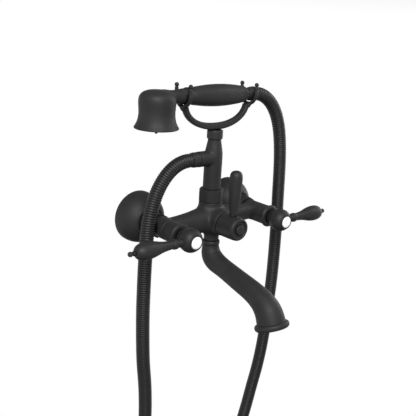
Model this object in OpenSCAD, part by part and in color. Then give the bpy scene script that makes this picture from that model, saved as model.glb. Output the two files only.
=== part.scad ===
// Wall mounted bath mixer with a telephone hand shower.
// X runs along the wall, the finished wall is the plane Y = 0 and the mixer
// stands out towards -Y. Z is up. The origin is midway between the two inlets,
// on the wall. All sizes are in millimetres.

/* [Inlets] */
// Distance between the hot and cold inlets
inlet_spacing = 150; // [146:1:154]
// Outside diameter of the wall thread, G1/2
wall_thread_d = 20.96; // [20.5:0.01:21.2]
// Length of thread that goes into the wall elbow
wall_thread_l = 18; // [14:1:22]
// Diameter of the domed wall cover
cover_d = 65.6; // [62:0.1:70]
// How far the domed cover stands out from the wall
cover_h = 31; // [29:0.5:31]

/* [Valves] */
// Outside diameter of a valve barrel
barrel_d = 25.6; // [25:0.1:26]
// Distance from the wall to the front of a barrel
barrel_front = 86; // [86:0.5:87]
// Greatest diameter of a handle hub
hub_d = 28.8; // [27:0.1:30]
// Distance from the wall to the lever's axis
lever_out = 109.5; // [109:0.5:110]
// Greatest diameter of a lever
lever_d = 20.2; // [18:0.1:21]
// Diameter of the white button on a hub
button_d = 15; // [14:0.1:15]
// Diameter of the finial ball on a lever
ball_d = 6; // [5:0.1:7]

/* [Column] */
// Distance from the wall to the column's axis
column_y = 55; // [54:0.5:56]
// Diameter of the riser above its nut
riser_d = 22.6; // [21:0.1:22.6]
// Height of the hose outlet above the inlets
tee_z = 79; // [78:0.5:80]

/* [Cradle and hand shower] */
// Height of the hand shower's axis above the inlets
shower_z = 156.5; // [156:0.5:157]
// Distance from the column to each fork of the cradle
fork_x = 53; // [53:0.5:54]
// Greatest diameter of the grip
grip_d = 26.8; // [24:0.1:28]
// Distance from the column to the bell's axis
bell_x = 90; // [89:0.5:92]
// Diameter of the bell's rim
bell_d = 52; // [49:0.5:53]

/* [Spout] */
// Distance from the wall to the spout's swivel axis
spout_y = 60.5; // [60:0.5:61]
// Diameter of the outlet's rim bead
outlet_d = 42.6; // [41:0.1:44]

/* [Hose] */
// Outside diameter of the hose
hose_d = 17.2; // [15:0.1:17.2]

/* [Hidden] */
inlet_x = inlet_spacing / 2;
black = "#2c2c2d";
brass = "#b8954a";
steel = "#a8aaad";
rubber = "#1a1a1a";
white = "#f2f2ee";

// places things whose own Z is the distance out from the wall
module out(x = 0, z = 0) translate([x, 0, z]) rotate([90, 0, 0]) children();
// places things whose own Z runs along +X, at the height z and depth y
module along(x = 0, y = 0, z = 0) translate([x, y, z]) rotate([0, 90, 0]) children();
// a turned piece from points [radius, height]
module lathe(pts) rotate_extrude($fn = 96) polygon(pts);
module rod(r, h0, h1) translate([0, 0, h0]) cylinder(r = r, h = h1 - h0, $fn = 64);
module tube(r, ri, h0, h1) difference() { rod(r, h0, h1); rod(ri, h0 - 1, h1 + 1); }
module hex(af, h0, h1) translate([0, 0, h0]) cylinder(r = af / 2 / cos(30), h = h1 - h0, $fn = 6);
// a hexagon nut with turned chamfers at both ends
module hex_nut(af, h0, h1, c = 1.2) intersection() {
  hex(af, h0, h1);
  lathe([[0, h0], [af / 2 + 0.3, h0], [af / 2 / cos(30) + 0.1, h0 + c], [af / 2 / cos(30) + 0.1, h1 - c], [af / 2 + 0.3, h1], [0, h1]]);
}

// ---- inlets ------------------------------------------------------------
module wall_union(x) color(brass) out(x) difference() {
  union() {
    rod(wall_thread_d / 2, -wall_thread_l, 1);
    rod(13.2, 0, 38.5);
  }
  rod(7, -wall_thread_l - 1, 40);
}
module wall_union_left() wall_union(-inlet_x);
module wall_union_right() wall_union(inlet_x);

// a domed cover plate, a quarter ellipse with a short neck
function dome(r, h, a) = [r * cos(a), 2.2 + h * sin(a)];
module escutcheon(x) color(black) out(x) difference() {
  lathe(concat([[0, 0], [cover_d / 2, 0], [cover_d / 2, 2.2]],
    [for (i = [1 : 14]) dome(cover_d / 2, cover_h + 3.4, i * 4.35)],
    [[15.4, cover_h], [0, cover_h]]));
  lathe(concat([[0, -1], [cover_d / 2 - 2.6, -1], [cover_d / 2 - 2.6, 1.8]],
    [for (i = [1 : 13]) dome(cover_d / 2 - 2.6, cover_h + 1.4, i * 4.6)],
    [[0, cover_h - 3.4]]));
  rod(13.5, -1, cover_h + 2);
}
module escutcheon_left() escutcheon(-inlet_x);
module escutcheon_right() escutcheon(inlet_x);

module union_nut(x) color(black) out(x) difference() {
  rotate([0, 0, 30]) hex_nut(29, 32, 47);
  rod(13.25, 31, 42.6);
  rod(9.7, 42, 48);
}
module union_nut_left() union_nut(-inlet_x);
module union_nut_right() union_nut(inlet_x);
module union_washers() color(rubber) for (s = [-1, 1]) out(s * inlet_x) tube(12.6, 7.4, 38.5, 40.5);

// ---- the cast body -----------------------------------------------------
module barrel(x) out(x) lathe([[0, 40.5], [12.6, 40.5], [12.6, 42.5], [9.5, 42.5], [9.5, 47.4],
  [barrel_d / 2 - 1, 47.4], [barrel_d / 2, 48.4], [barrel_d / 2, 69], [barrel_d / 2 - 0.5, 69.6],
  [barrel_d / 2 - 0.5, 71], [barrel_d / 2, 71.6], [barrel_d / 2, barrel_front], [0, barrel_front]]);
// one arm, a hollow-backed taper from the column to a barrel
module arm(s) translate([0, -57, 0]) rotate([0, s * 90, 0])
  lathe([[0, 0], [16.5, 0], [16.5, 15], [15.9, 19], [14.7, 26], [13.4, 34], [12.4, 43], [11.5, 53], [10.9, 64], [10.8, 70], [0, 70]]);
module body_bores() {
  for (s = [-1, 1]) {
    out(s * inlet_x) {
      rod(7, 40, 51);
      rod(5, 50, 55);
      rod(9, 54, barrel_front + 1);
    }
  }
  along(-inlet_x, -61, 0) rod(4.5, 0, inlet_spacing);
  out() rod(9.5, 60, 93);
  translate([0, -spout_y, 0]) rod(6.5, -28, 0);
  translate([0, -column_y, 0]) { rod(6, 0, 16); rod(9.2, 13, 33); }
  // room for the union nuts beside the arms
  for (s = [-1, 1]) out(s * inlet_x) { tube(17.6, 13, 30, 47.25); tube(17.6, 9.4, 42.55, 47.25); }
}
module mixer_body() color(black) difference() {
  union() {
    barrel(-inlet_x);
    barrel(inlet_x);
    arm(-1);
    arm(1);
    // column, from the swivel seat up to the riser's spigot
    translate([0, -column_y, 0]) lathe([[0, 0], [17, 0], [16.4, 10], [15.4, 17], [15, 23.3], [12.2, 23.3], [12.2, 31], [0, 31]]);
    translate([0, -spout_y, 0]) lathe([[0, -26.8], [9.6, -26.8], [9.7, -22], [10.6, -18], [12.4, -14], [14.2, -9], [15, -3], [15, 4], [0, 4]]);
    translate([0, -58, 0]) sphere(r = 16.3, $fn = 96);
    // diverter housing
    out() lathe([[0, 58], [17, 58], [16.8, 66], [16.3, 74], [15.9, 79], [15.6, 82], [15, 82.8], [0, 82.8]]);
  }
  body_bores();
}

// ---- valves ------------------------------------------------------------
module valve_cartridge(x) color(brass) out(x) difference() {
  union() {
    rod(6.4, 57, 66);
    rod(8.9, 65.5, barrel_front);
    rod(11.4, barrel_front + 0.1, 89);
    rod(6.2, 88, 92.6);
  }
  rod(4.06, 56, 93);
  for (a = [0, 90]) translate([0, 0, 61]) rotate([0, 0, a]) rotate([90, 0, 0]) cylinder(r = 2.2, h = 16, center = true, $fn = 32);
}
module valve_cartridge_left() valve_cartridge(-inlet_x);
module valve_cartridge_right() valve_cartridge(inlet_x);
module ceramic_discs() color(white) for (s = [-1, 1]) out(s * inlet_x) tube(8.6, 2.5, 54.1, 56.9);
module bonnet_ring(x) color(black) out(x) difference() {
  lathe([[0, barrel_front], [13.1, barrel_front], [13.4, 86.8], [14.2, 87.4], [14.5, 88.6], [14.2, 89.8], [13.4, 90.6], [12.6, 91], [0, 91]]);
  rod(11.6, barrel_front - 1, 89.2);
  rod(6.4, 89, 92);
}
module bonnet_ring_left() bonnet_ring(-inlet_x);
module bonnet_ring_right() bonnet_ring(inlet_x);

// ---- lever handles -----------------------------------------------------
module spindle(x) color(brass) out(x) { rod(4, 57.2, 105.7); }
module hub_shape() {
  k = hub_d / 28.8;
    lathe([[0, 93.2], [8.2 * k, 93.2], [9 * k, 93.8], [9.4 * k, 95.2], [10.4 * k, 97.4], [11.9 * k, 99.8], [13.2 * k, 102.4], [14.1 * k, 105.4], [14.4 * k, 108.4],
      [14.2 * k, 111.2], [13.4 * k, 113.8], [12.1 * k, 116], [10.6 * k, 117.8], [9.7 * k, 118.5], [9.5 * k, 119.4], [8.9 * k, 120], [0, 120]]);
}
module hub(x) color(black) out(x) difference() {
  hub_shape();
  rod(4.05, 92, 106);
  rod(2.6, 105, 108);
  rod(4.4, 107.5, 113);
  rod(button_d / 2 + 0.1, 113, 121);
}
module hub_left() hub(-inlet_x);
module hub_right() hub(inlet_x);
module spindle_left() spindle(-inlet_x);
module spindle_right() spindle(inlet_x);
module hub_screw(x) color(steel) out(x) difference() {
  union() { rod(2.5, 105.8, 108.3); rod(4.1, 108.1, 110.8); }
  translate([0, 0, 109.6]) cylinder(r = 1.7, h = 3, $fn = 6);
}
module hub_screw_left() hub_screw(-inlet_x);
module hub_screw_right() hub_screw(inlet_x);
// domed enamel button
module button(x) color(white) out(x) intersection() {
  lathe([[0, 113.3], [button_d / 2 - 0.1, 113.3], [button_d / 2 - 0.1, 119.8], [button_d / 2 - 0.6, 120.5], [5.2, 121], [2.6, 121.3], [0, 121.4]]);
  rod(20, 100, 125);
}
module button_left() button(-inlet_x);
module button_right() button(inlet_x);
// lever, turned along its length; t is measured from the hub's axis
module lever_solid() {
  m = lever_d / 20.2;
  lathe([[0, 12], [4.6, 12], [4.5, 16.4], [4.8, 17.4], [5, 18.2], [4.8, 19], [4.7, 20.4], [5.3, 21.4], [5.9, 23], [6, 24.7], [5.8, 26.4], [5.3, 27.7], [5.2, 29],
    [5.3, 32], [5.6, 36], [6.1 * m, 40], [7 * m, 44.5], [8.1 * m, 49], [9.2 * m, 54], [9.9 * m, 59], [10.1 * m, 63.5], [9.9 * m, 67.5], [9.1 * m, 71], [7.7 * m, 74],
    [5.8 * m, 76.1], [4 * m, 77.2], [2.4, 77.6], [0, 77.6]]);
}
module lever(s) color(black) difference() {
  translate([s * inlet_x, -lever_out, 0]) rotate([0, s * 90, 0]) lever_solid();
  out(s * inlet_x) hub_shape();
}
module lever_left() lever(-1);
module lever_right() lever(1);
module finial(s) color(black) translate([s * inlet_x, -lever_out, 0]) rotate([0, s * 90, 0])
  lathe(concat([[0, 77.6], [1.5, 77.6], [1.5, 78.4], [2.1, 78.8], [2.4, 79.4], [2.1, 80], [1.3, 80.5], [1.1, 80.9]],
    [for (a = [-65 : 14.5 : 80]) [ball_d / 2 * cos(a), 83.6 + ball_d / 2 * sin(a)]], [[0, 83.6 + ball_d / 2]]));
module finial_left() finial(-1);
module finial_right() finial(1);

// ---- diverter ----------------------------------------------------------
module diverter_cartridge() color(brass) out() difference() {
  rod(9.4, 66, 91.9);
  rod(4.06, 65, 93);
  translate([0, 0, 71]) rotate([90, 0, 0]) cylinder(r = 3, h = 30, center = true, $fn = 32);
}
module diverter_spindle() color(brass) out() { rod(4, 64, 101.9); }
module diverter_knob() color(black) out() difference() {
  lathe([[0, 83.4], [14.6, 83.4], [15.1, 84], [15, 92], [14.9, 100], [14.7, 105], [14.5, 108], [14.2, 109.6], [13.6, 110.9], [12.8, 111.7], [11.8, 112], [0, 112]]);
  rod(9.75, 82, 92.3);
  rod(4.05, 91, 102);
  rod(6.6, 104, 113);
  // sunk ring round the cap
  tube(10, 8, 110.6, 113);
  // socket of the lever
  translate([0, 3.4, 98.5]) rotate([-90, 0, 0]) cylinder(r = 2.55, h = 14, $fn = 48);
}
module diverter_cap() color(black) out() lathe([[0, 104.1], [6.5, 104.1], [6.5, 111.9], [6.2, 112.7], [5.4, 113.3], [3.8, 113.7], [0, 113.9]]);
module diverter_lever() color(black) translate([0, -98.5, 0]) difference() {
  lathe([[0, 5], [2.5, 5], [2.5, 13.6], [4.3, 13.6], [4.5, 16], [5.1, 20], [5.8, 25], [6.5, 31], [7.1, 38], [7.5, 45], [7.8, 53], [8, 60], [7.9, 64], [7.4, 67],
    [6.3, 69.3], [4.7, 70.7], [2.5, 71.5], [0, 71.8]]);
  rotate([90, 0, 0]) tube_cut();
}
// clears the lever's foot off the round knob
module tube_cut() difference() { cylinder(r = 15, h = 10, center = true, $fn = 96); cylinder(r = 3, h = 10.2, center = true, $fn = 96); translate([0, 8, 0]) rotate([90, 0, 0]) cylinder(r = 2.6, h = 14, center = true, $fn = 48); }

// ---- spout -------------------------------------------------------------
// centre line points [distance from the wall, height, outer radius]
spout_line = [[60.5, -33.6, 10.4], [60.6, -37, 11], [61, -41, 11.8], [62.2, -45.4, 12.5], [65, -49.6, 13.1], [69.6, -53, 13.3], [75.5, -55.4, 13.1],
  [82, -56.9, 12.7], [90, -58.6, 12.5], [99, -60.6, 12.6], [108, -62.6, 12.8], [117, -64.6, 13], [126, -66.5, 13.2], [135, -68.4, 13.4], [143.5, -70.6, 13.7],
  [151, -73.1, 14.2], [157.8, -76, 14.9], [163.6, -79.4, 15.7], [168.2, -83.2, 16.4], [171.8, -87.6, 16.9], [174.6, -92.4, 17.3], [176.2, -96.4, 17.5],
  [176.6, -97.4, 18.2], [177.1, -98.5, 20], [177.6, -99.8, 21], [178.2, -101.1, 21.3], [178.8, -102.5, 21], [179.3, -103.7, 20], [179.7, -104.6, 18.6]];
spout_n = len(spout_line);
spout_sides = 28;
function seg(i) = [spout_line[i][0], spout_line[i][1]];
function dir2(i) = let (a = seg(max(0, i - 1)), b = seg(min(spout_n - 1, i + 1)), d = b - a) d / norm(d);
function tan2(i) = i == 0 ? [0, -1] : i >= spout_n - 7 ? [0.39, -0.9208] : dir2(i);
// inner radius keeps an even wall and stays open at the bead
function bore_r(i) = min(spout_line[i][2] - 2.4, 15.9);
function ring3(i, r) = let (t = tan2(i), n = [t[1], -t[0]]) [for (k = [0 : spout_sides - 1]) let (a = k * 360 / spout_sides)
  [r * sin(a), -(spout_line[i][0] + n[0] * r * cos(a)), spout_line[i][1] + n[1] * r * cos(a)]];
module spout() color(black) {
  s = spout_sides; n = spout_n;
  pts = concat([for (i = [0 : n - 1]) each ring3(i, spout_line[i][2] * (i < n - 7 ? 1 : outlet_d / 42.6))], [for (i = [0 : n - 1]) each ring3(i, bore_r(i))]);
  m = n * s;
  faces = concat(
    [for (i = [0 : n - 2], k = [0 : s - 1]) let (k2 = (k + 1) % s) each [[i * s + k, i * s + k2, (i + 1) * s + k2], [i * s + k, (i + 1) * s + k2, (i + 1) * s + k]]],
    [for (i = [0 : n - 2], k = [0 : s - 1]) let (k2 = (k + 1) % s) each [[m + i * s + k, m + (i + 1) * s + k2, m + i * s + k2], [m + i * s + k, m + (i + 1) * s + k, m + (i + 1) * s + k2]]],
    [for (k = [0 : s - 1]) let (k2 = (k + 1) % s) each [[k, m + k, m + k2], [k, m + k2, k2]]],
    [for (k = [0 : s - 1]) let (k2 = (k + 1) % s, o = (n - 1) * s) each [[o + k, o + k2, m + o + k2], [o + k, m + o + k2, m + o + k]]]);
  polyhedron(points = pts, faces = faces, convexity = 6);
}
// the swivel tail turns in the body on two O-rings
module spout_tail() color(brass) translate([0, -spout_y, 0]) difference() {
  lathe([[0, -33.6], [7.7, -33.6], [7.7, -27.3], [6.45, -27.3], [6.45, -24.2], [5.4, -24.2], [5.4, -22], [6.45, -22], [6.45, -19], [5.4, -19], [5.4, -16.8], [6.45, -16.8], [6.45, -14], [0, -14]]);
  rod(4.2, -35, -13);
}
module spout_orings() color(rubber) translate([0, -spout_y, 0]) for (z = [-23.1, -17.9]) translate([0, 0, z]) rotate_extrude($fn = 64) translate([5.93, 0]) circle(r = 0.5, $fn = 24);
module spout_ring() color(black) translate([0, -spout_y, 0]) difference() {
  lathe([[0, -33.5], [9.8, -33.5], [10.4, -33], [11.2, -32], [11.5, -30.4], [11.2, -28.8], [10.4, -27.8], [9.8, -27.3], [0, -27.3]]);
  rod(7.75, -35, -26);
}
// flow straightener, square to the outlet's axis
module outlet_insert() color(black) translate([0, -177.4, -99.2]) rotate([-23, 0, 0]) difference() {
  rod(14.7, -0.5, 5);
  for (a = [0 : 60 : 300]) rotate([0, 0, a]) translate([9.2, 0, 0]) rod(3.4, -1, 6);
  rod(4, -1, 6);
}

// ---- riser -------------------------------------------------------------
module riser_nut() color(black) translate([0, -column_y, 0]) difference() {
  intersection() {
    rotate([0, 0, 4]) hex_nut(28.6, 23.5, 39.4, 1.1);
    rod(15.5, 20, 42);
  }
  rod(12.25, 23, 35);
  rod(riser_d / 2 + 0.1, 34, 40);
}
module riser_tee() color(black) difference() {
  union() {
    translate([0, -column_y, 0]) lathe([[0, 14], [9.1, 14], [9.1, 17], [7.9, 17], [7.9, 19.4], [9.1, 19.4], [9.1, 31.2], [12.1, 31.2], [12.1, 34.8], [riser_d / 2, 34.8],
      [riser_d / 2, 84], [10.5, 88], [9.8, 91], [8.9, 96], [8.3, 100], [8.2, 103.2], [0, 103.2]]);
    // hose outlet
    along(-33, -column_y, tee_z) lathe([[0, 0], [7.5, 0], [7.5, 7], [9.5, 7], [9.7, 7.6], [9.7, 31], [0, 31]]);
  }
  translate([0, -column_y, 0]) rod(6, 13, tee_z + 6);
  along(-34, -column_y, tee_z) rod(5.6, 0, 34);
}
module riser_oring() color(rubber) translate([0, -column_y, 18.2]) rotate_extrude($fn = 64) translate([8.5, 0]) circle(r = 0.55, $fn = 24);
module check_valve() color(white) difference() {
  along(-31, -column_y, tee_z) rod(5.55, 0, 13);
  along(-32, -column_y, tee_z) { rod(3.6, 0, 9); rod(1.6, 0, 20); }
}

// ---- cradle ------------------------------------------------------------
module cradle_collar() color(black) translate([0, -column_y, 0]) difference() {
  lathe([[0, 103.3], [9.5, 103.3], [9.95, 103.9], [9.95, 112.9], [9.6, 113.6], [8.6, 114.4], [0, 114.4]]);
  rod(3.1, 102, 116);
}
// the yoke's outline, a rounded U between two superellipses
function u_pt(a, w, h, p = 2.15) = [w * sign(cos(a)) * pow(abs(cos(a)), 2 / p), 148 - h * pow(abs(sin(a)), 2 / p)];
module fork(s) translate([s * fork_x, -column_y, shower_z + 1.1]) {
  difference() {
    rotate([0, 0, 90]) rotate([90, 0, 0]) rotate_extrude($fn = 96) translate([13, 0]) circle(r = 2.4, $fn = 32);
    translate([-20, -20, 0]) cube([40, 40, 20]);
  }
  for (t = [-1, 1]) translate([0, t * 13, 0]) { rod(2.4, -0.01, 8.4); rod(1.7, 8, 10.6); translate([0, 0, 11.2]) sphere(r = 2.75, $fn = 48); }
}
module cradle_yoke() color(black) difference() {
  union() {
    translate([0, -column_y + 4.2, 0]) rotate([90, 0, 0]) linear_extrude(8.4)
      polygon(concat([for (i = [0 : 40]) u_pt(i * 4.5, 52.7, 33.4)], [for (i = [40 : -1 : 0]) u_pt(i * 4.5, 46.8, 25.4)]));
    fork(-1);
    fork(1);
    translate([0, -column_y, 0]) rod(3, 110.3, 117);
  }
  // rounds the seats of the hand shower and trims the yoke's ends under them
  for (s = [-1, 1]) along(s * fork_x - 8, -column_y, shower_z + 1.1) rod(10.6, 0, 16);
  along(-50.3, -column_y, shower_z) rod(10.95, 0, 100.6);
}

// ---- hand shower -------------------------------------------------------
module bell_shape(e = 0) {
  k = bell_d / 52;
  lathe([[0, 121.3], [25.2 * k, 121.3], [26 * k, 121.9], [25.8 * k, 123.1], [24.1 * k, 126], [22.4 * k, 129.6], [21.3 * k, 134], [20.9 * k + e, 139], [21.1 * k + e, 144], [21.5 * k + e, 149],
    [21.6 + e, 152.6], [21 + e, 156.4], [19.4 + e, 159.6], [16.6 + e, 162.2], [12.6 + e, 164], [7.4 + e, 165 + e], [0, 165.3 + e]]);
}
module handset_bell() color(black) translate([-bell_x, -column_y, 0]) difference() {
  k = bell_d / 52;
  bell_shape();
  lathe([[0, 120], [23.6 * k, 120], [23.6 * k, 123.1], [21.8 * k, 126.6], [20.3 * k, 130.4], [19.3 * k, 134.4], [18.9 * k, 139], [19.1 * k, 144], [19.5 * k, 149],
    [19.6, 152.4], [19, 155.4], [17.4, 158.2], [14.8, 160.4], [11, 162], [0, 163.1]]);
  translate([bell_x, column_y, 0]) along(-bell_x, -column_y, shower_z) rod(6.5, 0, 26);
}
module rose_plate() color(black) translate([-bell_x, -column_y, 0]) difference() {
  rod(23.5 * bell_d / 52, 121.8, 123.1);
  rod(1.55, 121, 125);
  for (r = [[8, 8], [13, 14], [18, 20]]) for (i = [0 : r[1] - 1]) rotate([0, 0, i * 360 / r[1]]) translate([r[0], 0, 0]) rod(0.75, 121, 125);
}
module rose_screw() color(black) translate([-bell_x, -column_y, 0]) lathe([[0, 115.3], [0.9, 115.5], [1.5, 116.3], [1.6, 117.5], [3.4, 119.3], [3.8, 120.5], [3.8, 121.8], [1.5, 121.8], [1.5, 125.4], [0, 125.4]]);
module handset_neck() color(black) difference() {
  along(0, -column_y, shower_z) lathe([[0, -74], [7.9, -74], [7.8, -68], [8, -64], [8.5, -60], [9.1, -56], [9.4, -52.5], [9.5, -50], [0, -50]]);
  translate([-bell_x, -column_y, 0]) bell_shape(0.05);
  along(0, -column_y, shower_z) rod(6.5, -80, -40);
}
module handset_ring() color(black) along(0, -column_y, shower_z) difference() {
  lathe([[0, -50], [9.7, -50], [10.4, -49.2], [10.5, -47.2], [10.4, -45.2], [9.7, -44.4], [0, -44.4]]);
  rod(6.5, -51, -43);
}
module handset_tube() color(brass) along(0, -column_y, shower_z) tube(6.45, 4.4, -72, 47.8);
function grip_r(t) = 9.2 + (grip_d / 2 - 9.2) * pow(cos(90 * abs(t)), 0.85);
module handset_grip() color(black) along(0, -column_y, shower_z) difference() {
  lathe(concat([[0, -44.4], [8.9, -44.4], [9.3, -43.8]], [for (i = [-12 : 12]) [grip_r(i / 13), i * 43 / 13.2]], [[9.2, 43.4], [8.4, 45.6], [7.2, 46.4], [0, 46.4]]));
  rod(6.5, -46, 48);
}
module handset_end() color(black) along(0, -column_y, shower_z) difference() {
  lathe([[0, 46.5], [7.1, 46.5], [7, 48.4], [6.5, 48.4], [6.5, 57], [0, 57]]);
  rod(6.47, 46, 47.9);
  rod(4.4, 46, 58);
}

// ---- hose and its nuts -------------------------------------------------
module hose_nut_lower() color(black) along(0, -column_y, tee_z) difference() {
  lathe([[0, -36], [8.4, -36], [8.8, -35.4], [9.3, -33], [9.3, -27], [9, -26.2], [0, -26.2]]);
  rod(7.55, -34.2, -25);
  rod(4.6, -37, -30);
}
module hose_washer_lower() color(rubber) along(0, -column_y, tee_z) tube(7.4, 4.6, -34.1, -33.1);
module hose_nut_upper() color(black) along(0, -column_y, shower_z) difference() {
  lathe([[0, 48.6], [7.4, 48.6], [7.9, 50], [8.6, 54], [9.1, 58], [9.2, 60.6], [8.6, 62], [0, 62]]);
  rod(6.55, 48, 59);
  rod(4.4, 50, 63);
}
module hose_washer_upper() color(rubber) along(0, -column_y, shower_z) tube(6.4, 4.4, 57.1, 58.8);

// the hose's centre line [along the wall, height], all at the column's distance from the wall
hose_line = [[-36, 79], [-44, 79], [-56, 76], [-67.5, 69], [-77.5, 58.5], [-86, 44.5], [-92, 28], [-96.5, 8], [-98.5, -16], [-99.5, -44], [-100, -76], [-100, -108],
  [-99, -140], [-97, -175], [-93, -211], [-91, -247], [-91, -283], [-89, -319], [-83, -356], [-67, -392], [-37, -418], [1, -425], [37, -414], [66, -389],
  [86, -357], [98, -321], [107, -286], [115.5, -254], [121.5, -221], [125, -188], [127, -154], [129, -122], [129.5, -90], [129, -56], [128, -22], [126, 12],
  [124.5, 42], [122.5, 68], [119, 92], [114, 112], [106, 129.5], [95, 143.5], [82, 152.5], [70, 156.5], [62, 156.5]];
hose_m = len(hose_line);
hose_sides = 12;
// Catmull-Rom point between route points i and i + 1
function hp(i) = hose_line[max(0, min(hose_m - 1, i))];
function cr(i, t) = let (a = hp(i - 1), b = hp(i), c = hp(i + 1), d = hp(i + 2))
  0.5 * (2 * b + (c - a) * t + (2 * a - 5 * b + 4 * c - d) * t * t + (3 * b - a - 3 * c + d) * t * t * t);
hose_path = concat([for (i = [0 : hose_m - 2]) each (norm(hp(i + 1) - hp(i)) > 20 ? [cr(i, 0), cr(i, 0.5)] : [cr(i, 0)])], [hp(hose_m - 1)]);
hose_n = len(hose_path);
function hdir(i) = i == 0 ? [-1, 0] : i == hose_n - 1 ? [-1, 0] : let (d = hose_path[i + 1] - hose_path[i - 1]) d / norm(d);
function hring(i) = let (t = hdir(i), p = hose_path[i]) [for (k = [0 : hose_sides - 1]) let (a = k * 360 / hose_sides, r = hose_d / 2)
  [p[0] + t[1] * r * cos(a), -column_y + r * sin(a), p[1] - t[0] * r * cos(a)]];
module hose() color(black) polyhedron(
  points = [for (i = [0 : hose_n - 1]) each hring(i)],
  faces = concat([[for (k = [0 : hose_sides - 1]) k]],
    [for (i = [0 : hose_n - 2], k = [0 : hose_sides - 1]) let (k2 = (k + 1) % hose_sides, s = hose_sides) each [[i * s + k, (i + 1) * s + k2, i * s + k2], [i * s + k, (i + 1) * s + k, (i + 1) * s + k2]]],
    [[for (k = [hose_sides - 1 : -1 : 0]) (hose_n - 1) * hose_sides + k]]), convexity = 8);

wall_union_left();
wall_union_right();
escutcheon_left();
escutcheon_right();
union_nut_left();
union_nut_right();
union_washers();
mixer_body();
valve_cartridge_left();
valve_cartridge_right();
ceramic_discs();
bonnet_ring_left();
bonnet_ring_right();
spindle_left();
hub_left();
lever_left();
finial_left();
hub_screw_left();
button_left();
spindle_right();
hub_right();
lever_right();
finial_right();
hub_screw_right();
button_right();
diverter_cartridge();
diverter_spindle();
diverter_knob();
diverter_lever();
diverter_cap();
spout_tail();
spout_orings();
spout_ring();
spout();
outlet_insert();
riser_nut();
riser_tee();
riser_oring();
check_valve();
cradle_collar();
cradle_yoke();
handset_bell();
rose_plate();
rose_screw();
handset_neck();
handset_ring();
handset_tube();
handset_grip();
handset_end();
hose_nut_lower();
hose_washer_lower();
hose_nut_upper();
hose_washer_upper();
hose();
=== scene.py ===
"""The looks of the wall mounted bath mixer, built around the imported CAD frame."""
import math

import bpy
import numpy as np
from mathutils import Matrix, Vector


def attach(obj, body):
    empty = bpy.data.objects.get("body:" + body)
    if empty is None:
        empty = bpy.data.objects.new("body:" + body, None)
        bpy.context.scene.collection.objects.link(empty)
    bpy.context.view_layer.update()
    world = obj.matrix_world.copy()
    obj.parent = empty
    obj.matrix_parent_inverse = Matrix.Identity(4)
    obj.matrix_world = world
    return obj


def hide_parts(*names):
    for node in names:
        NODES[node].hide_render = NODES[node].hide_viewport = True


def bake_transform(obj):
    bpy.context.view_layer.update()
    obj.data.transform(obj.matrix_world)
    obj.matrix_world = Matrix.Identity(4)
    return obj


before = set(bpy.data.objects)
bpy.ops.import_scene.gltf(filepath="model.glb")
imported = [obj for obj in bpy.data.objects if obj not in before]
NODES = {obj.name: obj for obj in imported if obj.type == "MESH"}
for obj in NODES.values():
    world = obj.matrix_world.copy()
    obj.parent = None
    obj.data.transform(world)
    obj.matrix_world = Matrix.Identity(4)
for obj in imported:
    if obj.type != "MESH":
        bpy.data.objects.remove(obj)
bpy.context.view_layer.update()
scene = bpy.context.scene
MM = 0.001

# ------------------------------------------------------------------ camera
CAM_POS = Vector((-0.520006, -0.634056, 0.246757))
RIGHT = Vector((0.75701542, -0.65059527, 0.06044366))
UP = Vector((0.14390815, 0.25625, 0.95583805))
FWD = Vector((0.63735241, 0.71488581, -0.28761116))
cam_data = bpy.data.cameras.new("camera")
cam_data.sensor_fit = "HORIZONTAL"
cam_data.sensor_width = 36.0
cam_data.lens = 36.0 * 636.27 / 416.0
cam_data.clip_start = 0.01
cam_data.clip_end = 50.0
cam = bpy.data.objects.new("camera", cam_data)
scene.collection.objects.link(cam)
rot = Matrix((RIGHT, UP, -FWD)).transposed()
cam.matrix_world = Matrix.Translation(CAM_POS) @ rot.to_4x4()
scene.camera = cam
scene.view_settings.view_transform = "Standard"
scene.view_settings.look = "None"

# ------------------------------------------------------- dimensions, in mm
IX, COL, SPY = 75.0, 55.0, 60.5        # inlet offset, column and spout axes
LEV, TEE, SHZ = 109.5, 79.0, 156.5     # lever axis, hose outlet, hand shower
BELLX = 90.0


# ------------------------------------------------------------ node helpers
def new_mat(name):
    m = bpy.data.materials.new(name)
    m.use_nodes = True
    nt = m.node_tree
    nt.nodes.clear()
    out = nt.nodes.new("ShaderNodeOutputMaterial")
    b = nt.nodes.new("ShaderNodeBsdfPrincipled")
    nt.links.new(b.outputs["BSDF"], out.inputs["Surface"])
    return m, nt, b


def node(nt, kind, **kw):
    n = nt.nodes.new(kind)
    for k, v in kw.items():
        if k in n.inputs:
            n.inputs[k].default_value = v
        else:
            setattr(n, k, v)
    return n


def coords(nt, scale=(1, 1, 1)):
    tc = nt.nodes.new("ShaderNodeTexCoord")
    mp = nt.nodes.new("ShaderNodeMapping")
    mp.inputs["Scale"].default_value = scale
    nt.links.new(tc.outputs["Object"], mp.inputs["Vector"])
    return mp.outputs["Vector"]


def noise(nt, vec, scale, detail=3.0, rough=0.5):
    n = nt.nodes.new("ShaderNodeTexNoise")
    n.inputs["Scale"].default_value = scale
    n.inputs["Detail"].default_value = detail
    n.inputs["Roughness"].default_value = rough
    nt.links.new(vec, n.inputs["Vector"])
    return n.outputs["Fac"]


def ramp(nt, fac, stops):
    r = nt.nodes.new("ShaderNodeValToRGB")
    e = r.color_ramp.elements
    e[0].position, e[0].color = stops[0][0], (*stops[0][1], 1)
    e[1].position, e[1].color = stops[-1][0], (*stops[-1][1], 1)
    for p, c in stops[1:-1]:
        x = e.new(p)
        x.color = (*c, 1)
    nt.links.new(fac, r.inputs["Fac"])
    return r.outputs["Color"]


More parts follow.
